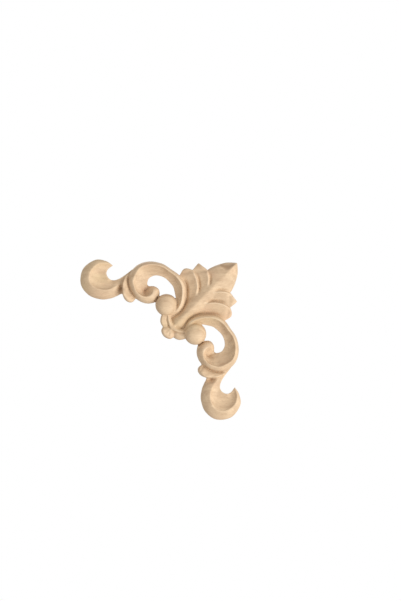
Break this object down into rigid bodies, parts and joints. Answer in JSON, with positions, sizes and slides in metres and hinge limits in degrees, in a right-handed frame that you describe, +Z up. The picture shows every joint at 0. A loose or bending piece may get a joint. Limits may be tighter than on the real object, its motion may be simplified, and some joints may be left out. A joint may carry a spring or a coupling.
{
  "type": "carved corner applique",
  "caption": "Flat-backed carved wood corner applique with mirrored scroll arms, hooked ends and a pointed leaf, fastened as an ornament onto furniture, frames or doors.",
  "frame": {"origin": "on the flat back, on the diagonal that the arms mirror in, at the root of the leaf", "axes": "+X right and +Z up along the two arms with the leaf's tip pointing to +X +Z, +Y out of the flat back into the surface it is fixed to, carved face toward -Y"},
  "size_m": [0.08, 0.0084, 0.08],
  "materials": {
    "wood": "bare sanded light hardwood, matte"
  },
  "bodies": {
    "root": {"corner_applique": "wood"}
  },
  "joints": []
}
